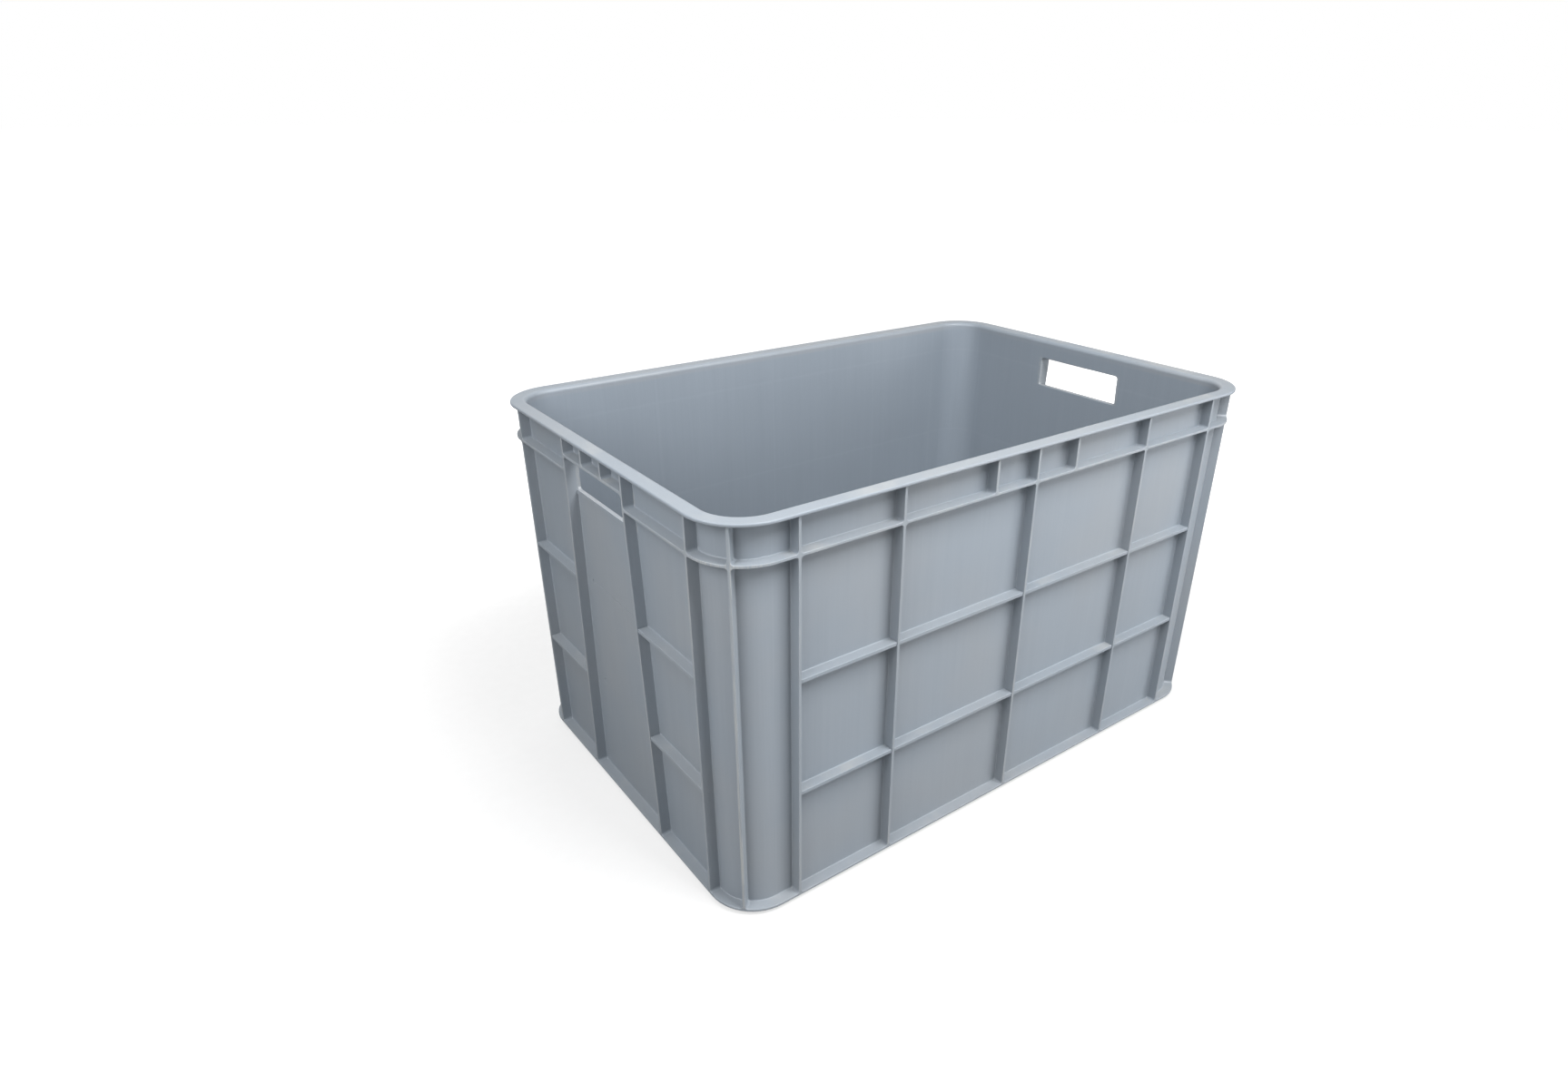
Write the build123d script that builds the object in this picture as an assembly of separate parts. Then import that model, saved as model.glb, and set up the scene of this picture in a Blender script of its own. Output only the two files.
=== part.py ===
from build123d import *
from functools import partial
import math
import os

# Ribbed stacking crate, moulded in one piece. Millimetres, +Z up, origin under the middle of the foot.
# +X runs along the long sides. The two hand holes are in the short ends.

# ---- driving dimensions ----
LENGTH = 600.0  # over the rim
WIDTH = 400.0  # over the rim
HEIGHT = 345.0  # foot to rim top
WALL = 3.0
FLOOR = 3.0
DRAFT = 0.5  # degrees, each wall leans outwards towards the rim

RIM_THICKNESS = 3.0
RIM_CORNER_RADIUS = 46.5
RIM_OVERHANG = 2.0  # rim edge beyond the rib tips
RIM_EDGE_ROUND = 1.2
RIM_INNER_ROUND = 4.0

RIB_DEPTH = 9.8
RIB_THICKNESS = 2.4
RIB_TIP_ROUND = 0.5
RIB_ROOT_ROUND = 0.8
CELL_CORNER = 2.5  # rounding where an upright rib meets the flange or the band
MID_RIB_THICKNESS = 3.4  # of the two level ribs between flange and band
MID_RIB_STEP = 0.8  # they stop this much short of the upright ribs

BAND_DROP = 32.2  # rim top to the middle of the band
RAISED_BAND_DROP = 19.2  # the same, above a hand hole

LONG_END_RIB = 236.0  # ribs of a long side, from its middle
LONG_INNER_RIB = 142.0
LONG_STUB_RIB = 47.0  # stubs between rim and band only
SHORT_END_RIB = 149.5  # ribs of a short end, from its middle
HOLE_RIB = 54.0  # beside the hand hole
HOLE_RIB_SPLAY = 11.5  # how much further out that rib is at the flange than at the band
HOLE_STUB_RIB = 18.0  # above the hand hole

HOLE_HEIGHT = 30.8
HOLE_CORNER = 3.5
HOLE_EDGE_ROUND = 1.0
SILL_LIP = 1.2  # how far the bead under a hand hole stands off the wall
SILL_LIP_HEIGHT = 4.0

FOOT_HEIGHT = 4.0
FOOT_INSET = 9.5  # foot outline inside the bottom flange
FOOT_WIDTH = 7.0
FOOT_EDGE_ROUND = 0.8
FLOOR_ROUND = 9.0
BASE_RIB_THICKNESS = 2.6
BASE_RIB_HEIGHT = 3.0
BASE_BAYS = (8, 5)  # along and across the underside
PIN_MARK_RADIUS = 2.2  # ejector marks on the end panels
PIN_MARK_DEPTH = 0.4
PIN_MARK_OFFSET = 43.0  # from the middle of the end
WITNESS_LINE = 0.25  # height and projection of the mould line beside the upper mark

# ---- levels and slopes ----
SLOPE = math.tan(math.radians(DRAFT))
HALF_RIB = RIB_THICKNESS / 2
RIM_UNDERSIDE = HEIGHT - RIM_THICKNESS
UNDER_RIM = RIM_UNDERSIDE + HALF_RIB  # taken as a rib's centre line, it lets a cell end at the rim
BAND = HEIGHT - BAND_DROP
RAISED_BAND = HEIGHT - RAISED_BAND_DROP
FLANGE = FOOT_HEIGHT + HALF_RIB
MID_LEVELS = [FLANGE + (BAND - FLANGE) * step / 3 for step in (1, 2)]
MID_EXTRA = (MID_RIB_THICKNESS - RIB_THICKNESS) / 2  # taken from the cell on each side of a middle rib
CELL_BOTTOMS = [FLANGE] + [level + MID_EXTRA for level in MID_LEVELS]
CELL_TOPS = [level - MID_EXTRA for level in MID_LEVELS] + [BAND]
HOLE_TOP = RAISED_BAND - HALF_RIB
HOLE_BOTTOM = HOLE_TOP - HOLE_HEIGHT
CORNER_X = LENGTH / 2 - RIM_CORNER_RADIUS  # centre of a rounded corner
CORNER_Y = WIDTH / 2 - RIM_CORNER_RADIUS
CORNER_START = 12.0  # how far past that centre a corner tool starts, inside the wall all the way down
REACH = 30.0  # how far a cutting tool stands out past the rim
ON_SURFACE = 0.01  # tolerance for telling that an edge lies on a surface


# ---- the drafted walls ----
def skin_shrink(level, inset):
    """How far inside the rim's edge a drafted surface lies at a height."""
    return RIM_OVERHANG + inset + (RIM_UNDERSIDE - level) * SLOPE


def outline(level, inset):
    """Rounded rectangle at a height, set in from the rib tips."""
    shrink = skin_shrink(level, inset)
    size = (LENGTH - 2 * shrink, WIDTH - 2 * shrink)
    return Plane.XY.offset(level) * RectangleRounded(*size, RIM_CORNER_RADIUS - shrink)


def drafted_block(bottom, top, inset):
    return extrude(outline(bottom, inset), top - bottom, taper=-DRAFT)


def on_skin(edge, inset):
    """True if the edge lies on the drafted surface that is set in this much from the rib tips."""
    for place in (0.0, 0.5, 1.0):
        point = edge.position_at(place)
        over_x = max(abs(point.X) - CORNER_X, 0)
        over_y = max(abs(point.Y) - CORNER_Y, 0)
        radius = RIM_CORNER_RADIUS - skin_shrink(point.Z, inset)
        if abs(math.hypot(over_x, over_y) - radius) > ON_SURFACE:
            return False
    return True


def is_level(edge):
    return abs(edge.tangent_at(0.5).Z) < ON_SURFACE


def mirrored(shapes, plane):
    return shapes + [mirror(shape, about=plane) for shape in shapes]


# ---- cells: the spaces between the ribs, as cutting tools ----
def cell(opening, skin):
    """The part of an opening outside the wall's skin, rounded there to leave a fillet at each rib's root."""
    tool = opening - skin
    return fillet(tool.edges().filter_by(lambda edge: on_skin(edge, RIB_DEPTH)), RIB_ROOT_ROUND)


def outward_edges(tool, along):
    """Level edges of a prism, without the ones that run along the wall, in groups by height."""
    def runs_outwards(edge):
        return is_level(edge) and abs(edge.tangent_at(0.5).dot(Vector(along))) < 1 - ON_SURFACE
    return tool.edges().filter_by(runs_outwards).group_by(Axis.Z)


def side_opening(plan, along, bottom, top, low_round=CELL_CORNER, high_round=CELL_CORNER):
    """Upright prism over a plan outline, between two level ribs."""
    bottom, top = bottom + HALF_RIB, top - HALF_RIB
    prism = extrude(Plane.XY.offset(bottom) * make_face(Polyline(*plan, close=True)), top - bottom)
    if low_round:
        prism = fillet(outward_edges(prism, along)[0], low_round)
    if high_round:
        prism = fillet(outward_edges(prism, along)[-1], high_round)
    return prism


def end_opening(left_rib, right_rib, bottom, top, low_round=CELL_CORNER, high_round=CELL_CORNER):
    """Prism through the +X end between two level ribs. A side rib is a function of the height."""
    bottom, top = bottom + HALF_RIB, top - HALF_RIB
    levels = [bottom, BAND, top] if bottom < BAND < top else [bottom, top]
    left = [(left_rib(level) + HALF_RIB, level) for level in levels]
    right = [(right_rib(level) - HALF_RIB, level) for level in reversed(levels)]
    shape = make_face(Polyline(*left, *right, close=True))
    if low_round:
        shape = fillet(shape.vertices().group_by(Axis.Y)[0], low_round)
    if high_round:
        shape = fillet(shape.vertices().group_by(Axis.Y)[-1], high_round)
    return extrude(Plane.YZ * shape, LENGTH / 2 + REACH)


def upright(place):
    """A rib that keeps its place at every height."""
    return lambda level: place


def hole_rib(side, level):
    """The rib beside a hand hole, which splays outwards below the band."""
    return side * (HOLE_RIB + HOLE_RIB_SPLAY * max(BAND - level, 0) / (BAND - FLANGE))


def long_plan(left, right):
    """Between two ribs of the +Y long side."""
    far = WIDTH / 2 + REACH
    left, right = left + HALF_RIB, right - HALF_RIB
    return [(left, 0), (left, far), (right, far), (right, 0)]


def corner_plan(end_rib, centre_along, centre_across):
    """From the last rib of a side to the diagonal rib of the corner, as (along, across) points."""
    start, far = CORNER_START, RIM_CORNER_RADIUS + REACH
    near, clear = end_rib + HALF_RIB, HALF_RIB * math.sqrt(2)
    return [
        (near, centre_across + start),
        (near, centre_across + far),
        (centre_along + far - clear, centre_across + far),
        (centre_along + start - clear, centre_across + start),
    ]


def bay(opening, skin, step_skin):
    """Three cells one above another, and the step that sets their two middle ribs back."""
    rounds = [(CELL_CORNER, 0), (0, 0), (0, CELL_CORNER)]
    cells = zip(CELL_BOTTOMS, CELL_TOPS, rounds)
    tools = [cell(opening(low, high, *ends), skin) for low, high, ends in cells]
    return tools + [opening(FLANGE, BAND) - step_skin]


def under_rim(opening, skin, bottom=BAND):
    """The shallow cell between a band and the rim."""
    return cell(opening(bottom, UNDER_RIM, high_round=0), skin)


def side_tools(skin, step_skin):
    """Cells of the +Y long side."""
    lower = [-LONG_END_RIB, -LONG_INNER_RIB, 0, LONG_INNER_RIB, LONG_END_RIB]
    upper = sorted(lower + [-LONG_STUB_RIB, LONG_STUB_RIB])
    along = (1, 0, 0)
    tools = []
    for ribs in zip(lower, lower[1:]):
        tools += bay(partial(side_opening, long_plan(*ribs), along), skin, step_skin)
    for ribs in zip(upper, upper[1:]):
        tools.append(under_rim(partial(side_opening, long_plan(*ribs), along), skin))
    return tools


def end_tools(skin, step_skin):
    """Cells of the +X short end. The middle bay is open up to the raised band."""
    low_rib, high_rib = partial(hole_rib, -1), partial(hole_rib, 1)
    tools = []
    for ribs in ((upright(-SHORT_END_RIB), low_rib), (high_rib, upright(SHORT_END_RIB))):
        opening = partial(end_opening, *ribs)
        tools += bay(opening, skin, step_skin)
        tools.append(under_rim(opening, skin))
    tools.append(cell(end_opening(low_rib, high_rib, FLANGE, RAISED_BAND, high_round=HOLE_CORNER), skin))
    stubs = [low_rib, upright(-HOLE_STUB_RIB), upright(HOLE_STUB_RIB), high_rib]
    for ribs in zip(stubs, stubs[1:]):
        tools.append(under_rim(partial(end_opening, *ribs), skin, RAISED_BAND))
    return tools


def corner_tools(skin):
    """Cells of the +X +Y corner, on both sides of its diagonal rib."""
    long_part = corner_plan(LONG_END_RIB, CORNER_X, CORNER_Y)
    short_part = [(across, along) for along, across in corner_plan(SHORT_END_RIB, CORNER_Y, CORNER_X)]
    tools = []
    for plan, along in ((long_part, (1, 0, 0)), (short_part, (0, 1, 0))):
        opening = partial(side_opening, plan, along)
        tools += [cell(opening(FLANGE, BAND), skin), under_rim(opening, skin)]
    return tools


def rib_cells():
    skin = drafted_block(-REACH, HEIGHT + REACH, RIB_DEPTH)
    step_skin = drafted_block(-REACH, HEIGHT + REACH, MID_RIB_STEP)
    sides = mirrored(side_tools(skin, step_skin), Plane.XZ)
    ends = mirrored(end_tools(skin, step_skin), Plane.YZ)
    corners = mirrored(mirrored(corner_tools(skin), Plane.XZ), Plane.YZ)
    return sides + ends + corners


def round_rib_tips(body):
    tips = body.edges().filter_by(lambda edge: on_skin(edge, 0))
    steps = body.edges().filter_by(lambda edge: is_level(edge) and on_skin(edge, MID_RIB_STEP))
    return fillet(tips + steps, RIB_TIP_ROUND)


# ---- what is added to the ribbed block, and what is taken out of it ----
def rim():
    outer = RectangleRounded(LENGTH, WIDTH, RIM_CORNER_RADIUS)
    plate = extrude(Plane.XY.offset(RIM_UNDERSIDE) * outer, RIM_THICKNESS)
    return fillet(plate.edges().filter_by(Plane.XY), RIM_EDGE_ROUND)


def cavity():
    """Inside of the crate, with a generous fillet round the floor."""
    block = drafted_block(FOOT_HEIGHT + FLOOR, HEIGHT + REACH, RIB_DEPTH + WALL)
    return fillet(block.edges().filter_by(Plane.XY).group_by(Axis.Z)[0], FLOOR_ROUND)


def foot():
    """Ring that drops inside the rim of the crate below, with a lattice of shallow ribs inside it."""
    outer = outline(FOOT_HEIGHT, FOOT_INSET).face()
    inner = outline(FOOT_HEIGHT, FOOT_INSET + FOOT_WIDTH).face()
    ring = extrude(outer, -FOOT_HEIGHT)
    ring = fillet(ring.edges().filter_by(Plane.XY).group_by(Axis.Z)[0], FOOT_EDGE_ROUND)
    ring -= extrude(inner, -FOOT_HEIGHT)
    size = inner.bounding_box().size
    along, across = BASE_BAYS
    middle = FOOT_HEIGHT - BASE_RIB_HEIGHT / 2
    crossing = Box(BASE_RIB_THICKNESS, size.Y + FOOT_WIDTH, BASE_RIB_HEIGHT)
    lengthways = Box(size.X + FOOT_WIDTH, BASE_RIB_THICKNESS, BASE_RIB_HEIGHT)
    lattice = [Pos((step / along - 0.5) * size.X, 0, middle) * crossing for step in range(1, along)]
    lattice += [Pos(0, (step / across - 0.5) * size.Y, middle) * lengthways for step in range(1, across)]
    return ring + lattice


def hand_hole():
    """Tool for the +X hand hole, as wide as the space between its two ribs."""
    ribs = partial(hole_rib, -1), partial(hole_rib, 1)
    return end_opening(*ribs, HOLE_BOTTOM - HALF_RIB, RAISED_BAND, high_round=HOLE_CORNER)


def sill_lips():
    """Bead along the outer bottom edge of each hand hole, from rib to rib."""
    band = drafted_block(HOLE_BOTTOM - SILL_LIP_HEIGHT, HOLE_BOTTOM, RIB_DEPTH - SILL_LIP)
    return band & Box(LENGTH, 2 * hole_rib(1, HOLE_BOTTOM), 2 * HEIGHT)


def end_panel_marks():
    """Two ejector marks and a fine mould line on the +X end panel, under the hand hole."""
    pins = []
    for level in MID_LEVELS:
        x = LENGTH / 2 - skin_shrink(level, RIB_DEPTH)
        mark = Rot(0, 90, 0) * Cylinder(PIN_MARK_RADIUS, 2 * PIN_MARK_DEPTH)
        pins.append(Pos(x, PIN_MARK_OFFSET, level) * mark)
    length = 2 * (PIN_MARK_OFFSET - PIN_MARK_RADIUS)
    line = Pos(x, 0, level) * Box(2 * WITNESS_LINE, length, WITNESS_LINE)
    return pins, line


def round_open_edges(body):
    """Lead-in round the mouth of the crate, and soft edges on the hand holes for the fingers."""
    on_cavity = body.edges().filter_by(lambda edge: on_skin(edge, RIB_DEPTH + WALL))
    mouth = on_cavity.filter_by(lambda edge: edge.position_at(0.5).Z > HEIGHT - ON_SURFACE)
    body = fillet(mouth, RIM_INNER_ROUND)
    low, high = HOLE_BOTTOM - ON_SURFACE, HOLE_TOP + ON_SURFACE
    on_cavity = body.edges().filter_by(lambda edge: on_skin(edge, RIB_DEPTH + WALL))
    holes = on_cavity.filter_by(lambda edge: low < edge.position_at(0.5).Z < high)
    return fillet(holes, HOLE_EDGE_ROUND)


def crate():
    body = drafted_block(FOOT_HEIGHT, RIM_UNDERSIDE, 0) - rib_cells()
    body = round_rib_tips(body)
    body += [rim(), foot(), sill_lips()]
    body -= cavity()
    body -= mirrored([hand_hole()], Plane.YZ)
    body = round_open_edges(body)
    pins, line = end_panel_marks()
    body += mirrored([line], Plane.YZ)
    body -= mirrored(pins, Plane.YZ)
    return body


if __name__ == "__main__":
    os.makedirs("parts", exist_ok=True)
    body = crate()
    body.label = "crate"
    export_step(body, "parts/crate.step")
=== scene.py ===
"""A ribbed stacking crate moulded in blue-grey polypropylene, on a pale studio floor. Metres, +Z up."""
import math

import bpy
from mathutils import Matrix, Vector


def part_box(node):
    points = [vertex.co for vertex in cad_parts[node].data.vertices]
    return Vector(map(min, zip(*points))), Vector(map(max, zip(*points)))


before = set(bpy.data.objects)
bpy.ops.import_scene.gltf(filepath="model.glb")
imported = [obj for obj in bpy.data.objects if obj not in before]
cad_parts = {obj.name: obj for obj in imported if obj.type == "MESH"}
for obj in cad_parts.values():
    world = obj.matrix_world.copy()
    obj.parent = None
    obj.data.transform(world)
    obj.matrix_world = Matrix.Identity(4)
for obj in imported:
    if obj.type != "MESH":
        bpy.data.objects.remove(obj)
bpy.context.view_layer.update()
LOW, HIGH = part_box("crate")
MM = 0.001

# ---- the crate's own proportions, which say where its plastic is worn, scuffed or sunk, and where its inside is painted in shade ----
CORNER_RADIUS = 46.5 * MM  # of the rim
RIM_OVERHANG = 2.0 * MM  # rim edge beyond the rib tips
RIM_THICKNESS = 3.0 * MM
LEAN = math.tan(math.radians(0.5))  # the walls lean outwards towards the rim
RIB_DEPTH = 9.8 * MM
WALL = 3.0 * MM
BAND = HIGH.z - 32.2 * MM  # level of the band all round
FLANGE = LOW.z + 5.2 * MM
LEVEL_RIBS = [FLANGE + (BAND - FLANGE) * part / 3 for part in (1, 2, 3)]
LONG_RIBS = [0.0, 142.0 * MM, 236.0 * MM]  # upright ribs, from the middle of a long side
SHORT_RIB = 149.5 * MM  # from the middle of a short end
HOLE_HALF_WIDTH = 54.0 * MM
HOLE_BOTTOM, HOLE_TOP = HIGH.z - 51.2 * MM, HIGH.z - 20.4 * MM

# ---- camera ----
CAMERA_SPOT = Vector((-0.5736, -0.6741, 0.5884))
CAMERA_TURN = 36.6  # degrees left of looking along +Y
CAMERA_DIP = 25.95  # degrees below level
CAMERA_ROLL = 0.2
SENSOR = 36.0  # millimetres
FOCAL_LENGTH = 21.9  # millimetres on that sensor
LENS_SHIFT = (-0.0226, 0.0191)  # parts of the picture's width


# ---- sockets that Blender gives by number ----
OBJECT_PLACE = 3  # Texture Coordinate: Object
SURFACE_NORMAL = 1  # Geometry: Normal
MIX_FIRST_COLOUR, MIX_SECOND_COLOUR, MIXED_COLOUR = 6, 7, 2


class Nodes:
    """A material's node tree, with one short call for each kind of node."""

    def __init__(self, name):
        self.material = bpy.data.materials.new(name)
        self.material.use_nodes = True
        self.tree = self.material.node_tree
        self.tree.nodes.clear()

    def put(self, value, target):
        if isinstance(value, bpy.types.NodeSocket):
            self.tree.links.new(value, target)
        else:
            target.default_value = value

    def add(self, kind, output=0, **inputs):
        node = self.tree.nodes.new(kind)
        for key, value in inputs.items():
            self.put(value, node.inputs[key.replace("_", " ")])
        return node.outputs[output]

    def math(self, operation, *values):
        node = self.tree.nodes.new("ShaderNodeMath")
        node.operation = operation
        for index, value in enumerate(values):
            self.put(value, node.inputs[index])
        return node.outputs[0]

    def sum(self, *values):
        total = values[0]
        for value in values[1:]:
            total = self.math("ADD", total, value)
        return total

    def product(self, *values):
        total = values[0]
        for value in values[1:]:
            total = self.math("MULTIPLY", total, value)
        return total

    def ease(self, value, start, end, low=0.0, high=1.0):
        """Goes smoothly from low to high as value goes from start to end."""
        node = self.tree.nodes.new("ShaderNodeMapRange")
        node.interpolation_type = "SMOOTHSTEP"
        for index, part in enumerate((value, start, end, low, high)):
            self.put(part, node.inputs[index])
        return node.outputs[0]

    def near(self, value, middle, reach):
        """1 where value is at the middle, and 0 from reach away."""
        return self.ease(self.math("ABSOLUTE", self.math("SUBTRACT", value, middle)), reach, 0.0)

    def between(self, value, low, high, soft):
        """1 from low to high, fading to 0 over the soft length outside."""
        return self.product(self.ease(value, low - soft, low), self.ease(value, high + soft, high))

    def mix(self, share, first, second):
        node = self.tree.nodes.new("ShaderNodeMix")
        node.data_type = "RGBA"
        self.put(share, node.inputs["Factor"])
        self.put(first, node.inputs[MIX_FIRST_COLOUR])
        self.put(second, node.inputs[MIX_SECOND_COLOUR])
        return node.outputs[MIXED_COLOUR]

    def scaled(self, vector, factor):
        node = self.tree.nodes.new("ShaderNodeVectorMath")
        node.operation = "SCALE"
        self.put(vector, node.inputs[0])
        self.put(factor, node.inputs["Scale"])
        return node.outputs[0]

    def split(self, vector):
        node = self.tree.nodes.new("ShaderNodeSeparateXYZ")
        self.put(vector, node.inputs[0])
        return node.outputs

    def noise(self, where, across, upright=None, detail=2.0):
        """Noise whose features are this many metres across, and upright metres tall if they are stretched."""
        node = self.tree.nodes.new("ShaderNodeMapping")
        self.put(where, node.inputs["Vector"])
        node.inputs["Scale"].default_value = (1 / across, 1 / across, 1 / (upright or across))
        return self.add("ShaderNodeTexNoise", Vector=node.outputs[0], Scale=1.0, Detail=detail)

    def finish(self, shader):
        output = self.tree.nodes.new("ShaderNodeOutputMaterial")
        self.put(shader, output.inputs["Surface"])
        return self.material


# ---- the crate's plastic ----
PLASTIC = (0.225, 0.248, 0.274, 1.0)
PLASTIC_COOL = (0.213, 0.243, 0.277, 1.0)
PLASTIC_INSIDE_PAINTED_SHADE = (0.204, 0.236, 0.273, 1.0)  # painted shade: the inside is painted darker and bluer than the outside, standing in for the shade and bounce light within the crate
RUBBED = (0.36, 0.365, 0.355, 1.0)  # rib tips that have been knocked and dragged
DUSTY = (0.37, 0.365, 0.345, 1.0)


class CratePlace:
    """Where a shaded point is on the crate, as sockets: lengths in metres, the rest from 0 to 1."""

    def __init__(self, nodes):
        self.where = nodes.add("ShaderNodeTexCoord", output=OBJECT_PLACE)
        x, y, self.level = nodes.split(self.where)
        self.along, self.across = nodes.math("ABSOLUTE", x), nodes.math("ABSOLUTE", y)
        over_x = nodes.math("SUBTRACT", self.along, HIGH.x - CORNER_RADIUS)
        over_y = nodes.math("SUBTRACT", self.across, HIGH.y - CORNER_RADIUS)
        out_x, out_y = nodes.math("MAXIMUM", over_x, 0.0), nodes.math("MAXIMUM", over_y, 0.0)
        outside = nodes.math("SQRT", nodes.sum(nodes.product(out_x, out_x), nodes.product(out_y, out_y)))
        inside = nodes.math("MINIMUM", nodes.math("MAXIMUM", over_x, over_y), 0.0)
        drop = nodes.math("SUBTRACT", HIGH.z - RIM_THICKNESS, self.level)
        radius = nodes.math("SUBTRACT", CORNER_RADIUS - RIM_OVERHANG, nodes.product(drop, LEAN))
        self.depth = nodes.math("SUBTRACT", radius, nodes.sum(outside, inside))  # inside the rib tips
        self.on_corner = nodes.ease(nodes.math("MINIMUM", over_x, over_y), 0.0, CORNER_RADIUS / 4)
        self.on_end = nodes.math("GREATER_THAN", over_x, over_y)
        inner = nodes.ease(self.depth, RIB_DEPTH + WALL - 0.6 * MM, RIB_DEPTH + WALL - 0.1 * MM)
        self.within = nodes.product(inner, nodes.ease(self.level, HIGH.z - 6 * MM, HIGH.z - 9 * MM))
        self.upward = nodes.split(nodes.add("ShaderNodeNewGeometry", output=SURFACE_NORMAL))[2]


def rib_tip_wear(nodes, place):
    """Pale rubbed plastic on the rib tips, heaviest on the diagonal ribs of the corners."""
    tip = nodes.ease(place.depth, 0.6 * MM, 0.05 * MM)
    below_rim = nodes.between(place.level, FLANGE + 3 * MM, HIGH.z - RIM_THICKNESS - MM, 2 * MM)
    patches = nodes.ease(nodes.noise(place.where, 12 * MM, 50 * MM, detail=4.0), 0.4, 0.7, 0.15, 0.6)
    scratches = nodes.ease(nodes.noise(place.where, 1.2 * MM, 45 * MM, detail=3.0), 0.45, 0.6)
    corner_scratches = nodes.product(place.on_corner, scratches, 0.8)
    return nodes.product(tip, below_rim, nodes.sum(patches, corner_scratches))


def ledge_dust(nodes, place):
    """A thin even film on the rim and the ledges, with warmer patches where dust has gathered."""
    flat = nodes.ease(place.upward, 0.8, 0.95)
    ledge = nodes.product(flat, nodes.ease(place.depth, RIB_DEPTH, RIB_DEPTH - MM))
    patches = nodes.ease(nodes.noise(place.where, 45 * MM, detail=4.0), 0.5, 0.75, 0.0, 0.4)
    return nodes.sum(nodes.product(flat, 0.08), nodes.product(ledge, patches))


def trimmed_edge(nodes, place):
    """The hand hole's inner edge and its sill, where the flash was cut off and left a pale line."""
    edge = nodes.between(place.depth, RIB_DEPTH - 0.5 * MM, RIB_DEPTH + WALL, 0.4 * MM)
    beside = nodes.between(place.across, 0.0, HOLE_HALF_WIDTH + 2 * MM, MM)
    at_hole = nodes.between(place.level, HOLE_BOTTOM - 0.5 * MM, HOLE_TOP + 0.5 * MM, 0.5 * MM)
    rough = nodes.ease(nodes.noise(place.where, 3 * MM, detail=3.0), 0.35, 0.65, 0.3, 1.0)
    return nodes.product(edge, beside, at_hole, place.on_end, rough)


def sink_lines(nodes, place):
    """Faint lines on the inner walls, opposite the ribs outside: shallow dents in the bump, and a painted
    highlight in the colour.
    """
    width = 2.6 * MM
    on_side = nodes.math("SUBTRACT", 1.0, place.on_end)
    lines = nodes.sum(*[nodes.near(place.level, level, width) for level in LEVEL_RIBS])
    uprights = nodes.sum(*[nodes.near(place.along, rib, width) for rib in LONG_RIBS])
    lines = nodes.sum(lines, nodes.product(on_side, uprights))
    lines = nodes.sum(lines, nodes.product(place.on_end, nodes.near(place.across, SHORT_RIB, width)))
    return nodes.product(nodes.math("MINIMUM", lines, 1.0), place.within)


def moulded_plastic():
    nodes = Nodes("moulded_polypropylene")
    place = CratePlace(nodes)
    worn = rib_tip_wear(nodes, place)
    dust = ledge_dust(nodes, place)
    trimmed = trimmed_edge(nodes, place)
    sink_dent_and_highlight = sink_lines(nodes, place)

    cloud = nodes.noise(place.where, 140 * MM, detail=3.0)
    flow = nodes.noise(place.where, 9 * MM, 260 * MM, detail=3.0)
    drag = nodes.noise(place.where, 1.6 * MM, 90 * MM)
    colour = nodes.mix(nodes.ease(cloud, 0.35, 0.65), PLASTIC, PLASTIC_COOL)
    # painted shade: the inner walls below the rim get the darker, bluer copy of the plastic
    colour = nodes.mix(place.within, colour, PLASTIC_INSIDE_PAINTED_SHADE)
    shade = nodes.product(nodes.ease(flow, 0.3, 0.7, 0.99, 1.01), nodes.ease(drag, 0.3, 0.7, 0.99, 1.01))
    # painted highlight: the sink lines are painted 3% lighter, standing in for the light their shallow dents
    # catch
    shade = nodes.product(shade, nodes.sum(1.0, nodes.product(sink_dent_and_highlight, 0.03)))
    colour = nodes.scaled(colour, shade)

    colour = nodes.mix(nodes.product(dust, 0.8), colour, DUSTY)
    colour = nodes.mix(nodes.product(worn, 0.45), colour, RUBBED)
    colour = nodes.mix(nodes.product(trimmed, 0.25), colour, DUSTY)

    roughness = nodes.ease(cloud, 0.3, 0.7, 0.42, 0.50)
    roughness = nodes.sum(roughness, nodes.product(worn, 0.12), nodes.product(dust, 0.15))

    grain = nodes.sum(nodes.noise(place.where, 0.6 * MM), nodes.noise(place.where, 2.2 * MM), drag)
    nicks = nodes.product(worn, nodes.noise(place.where, 1.5 * MM, detail=3.0))
    skin = nodes.add("ShaderNodeBump", Strength=0.35, Distance=0.02 * MM, Height=grain)
    knocked = nodes.add("ShaderNodeBump", Strength=0.5, Distance=0.15 * MM, Height=nicks, Normal=skin)
    wavy = nodes.sum(nodes.noise(place.where, 60 * MM, detail=1.0), nodes.product(sink_dent_and_highlight, -0.1))
    normal = nodes.add("ShaderNodeBump", Strength=0.5, Distance=0.5 * MM, Height=wavy, Normal=knocked)

    shader = nodes.add(
        "ShaderNodeBsdfPrincipled",
        Base_Color=colour,
        Roughness=roughness,
        IOR=1.49,
        Normal=normal,
    )
    return nodes.finish(shader)


# ---- studio ----
WHITE = (1.0, 1.0, 1.0, 1.0)
FLOOR_BOUNCE = (0.25, 0.25, 0.25, 1.0)  # what the floor gives back to the crate
FLOOR_LIFT = (0.62, 1.0)  # glow that keeps the floor white for the camera, near the crate and further off
FLOOR_LIFT_REACH = (0.35, 0.9)  # metres from the crate's middle, for the two
FLOOR_HALF = 30.0
SKY_SEEN = 1.0
SKY_LIGHT = 0.03


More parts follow.
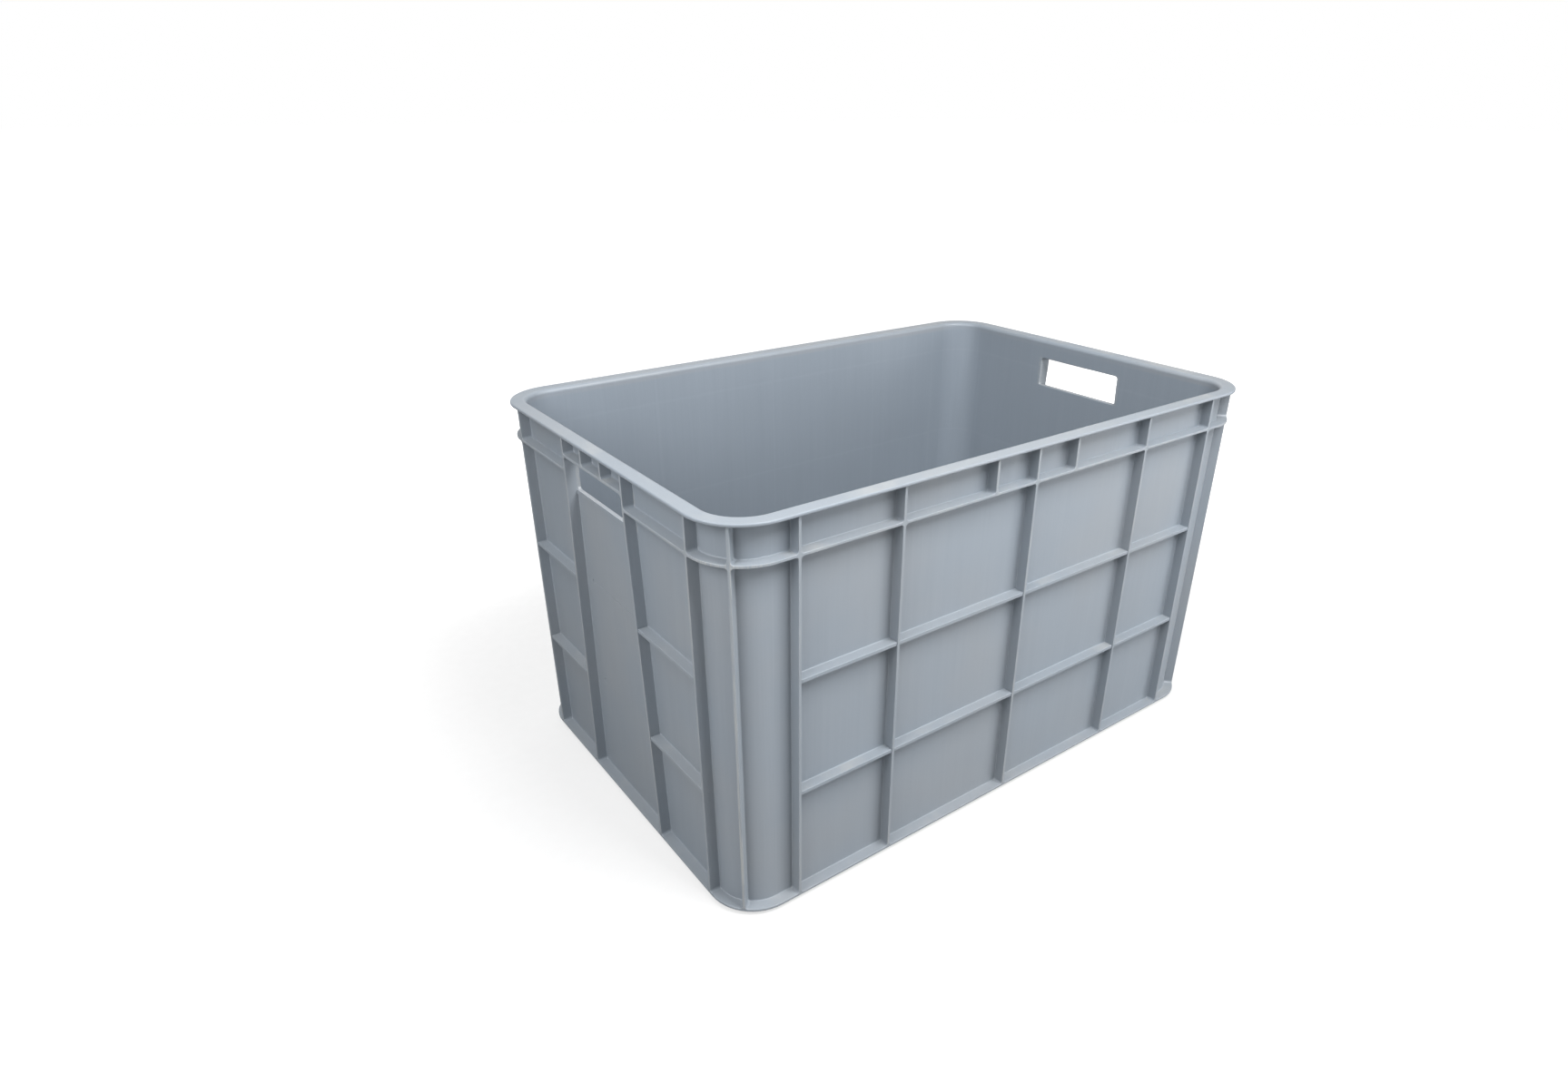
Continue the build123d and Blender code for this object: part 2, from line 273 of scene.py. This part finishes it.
def floor_material():
    nodes = Nodes("studio_floor")
    camera_ray = nodes.add("ShaderNodeLightPath")
    where = nodes.add("ShaderNodeTexCoord", output=OBJECT_PLACE)
    away = nodes.math("SQRT", nodes.sum(*[nodes.product(side, side) for side in nodes.split(where)[:2]]))
    lift = nodes.product(camera_ray, nodes.ease(away, *FLOOR_LIFT_REACH, *FLOOR_LIFT))
    roughness = nodes.ease(nodes.noise(where, 12 * MM, detail=3.0), 0.3, 0.7, 0.75, 0.9)
    shader = nodes.add(
        "ShaderNodeBsdfPrincipled",
        Base_Color=FLOOR_BOUNCE,
        Roughness=roughness,
        Emission_Color=WHITE,
        Emission_Strength=lift,
    )
    return nodes.finish(shader)


def make_floor():
    corners = [(-1, -1), (1, -1), (1, 1), (-1, 1)]
    mesh = bpy.data.meshes.new("studio_floor")
    mesh.from_pydata([(x * FLOOR_HALF, y * FLOOR_HALF, LOW.z) for x, y in corners], [], [(0, 1, 2, 3)])
    mesh.materials.append(floor_material())
    floor = bpy.data.objects.new("studio_floor", mesh)
    bpy.context.scene.collection.objects.link(floor)


def make_sky():
    """White where the camera sees it, and a weaker even light on the crate."""
    world = bpy.data.worlds.new("studio_sky")
    bpy.context.scene.world = world
    world.use_nodes = True
    tree = world.node_tree
    path = tree.nodes.new("ShaderNodeLightPath")
    strength = tree.nodes.new("ShaderNodeMapRange")
    tree.links.new(path.outputs["Is Camera Ray"], strength.inputs["Value"])
    strength.inputs["To Min"].default_value = SKY_LIGHT
    strength.inputs["To Max"].default_value = SKY_SEEN
    background = tree.nodes["Background"]
    background.inputs["Color"].default_value = WHITE
    tree.links.new(strength.outputs[0], background.inputs["Strength"])


def softbox(name, azimuth, elevation, power, width=0.6, height=0.6, distance=1.3):
    """Light panel aimed at the middle of the crate, in degrees, watts and metres.

    Azimuth 0 is in front of the near long side, and 90 is off the far short end.
    """
    lamp = bpy.data.lights.new(name, "AREA")
    lamp.shape = "RECTANGLE"
    lamp.size, lamp.size_y = width, height
    lamp.energy = power
    turn, rise = math.radians(azimuth), math.radians(elevation)
    away = Vector((math.sin(turn) * math.cos(rise), -math.cos(turn) * math.cos(rise), math.sin(rise)))
    light = bpy.data.objects.new(name, lamp)
    bpy.context.scene.collection.objects.link(light)
    light.location = (LOW + HIGH) / 2 + away * distance
    light.rotation_mode = "QUATERNION"
    light.rotation_quaternion = (-away).to_track_quat("-Z", "Y")


def make_camera():
    lens = bpy.data.cameras.new("camera")
    lens.sensor_width = SENSOR
    lens.lens = FOCAL_LENGTH
    lens.shift_x, lens.shift_y = LENS_SHIFT
    lens.clip_start, lens.clip_end = 0.01, 100.0
    camera = bpy.data.objects.new("camera", lens)
    bpy.context.scene.collection.objects.link(camera)
    tilt = Matrix.Rotation(math.radians(90 - CAMERA_DIP), 4, "X")
    turn = Matrix.Rotation(math.radians(-CAMERA_TURN), 4, "Z")
    roll = Matrix.Rotation(math.radians(CAMERA_ROLL), 4, "Z")
    camera.matrix_world = Matrix.Translation(CAMERA_SPOT) @ turn @ tilt @ roll
    bpy.context.scene.camera = camera


# ---- build ----
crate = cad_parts["crate"]
crate.data.materials.clear()
crate.data.materials.append(moulded_plastic())

make_floor()
make_sky()
softbox("left_light", -80, 35, 8.4)
softbox("left_high_light", -110, 60, 4.5)
softbox("left_front_light", -60, 30, 6.8, width=0.5, height=1.6)
softbox("front_light", 10, 10, 2.5)
softbox("high_light", 8, 55, 22.0)
softbox("right_light", 40, 10, 7.4)
softbox("back_light", 143, 30, 9.0, width=2.0, height=1.5, distance=2.0)
softbox("back_low_light", 155, 0, 13.0, width=2.0, height=0.3)
make_camera()
bpy.context.scene.view_settings.view_transform = "Standard"
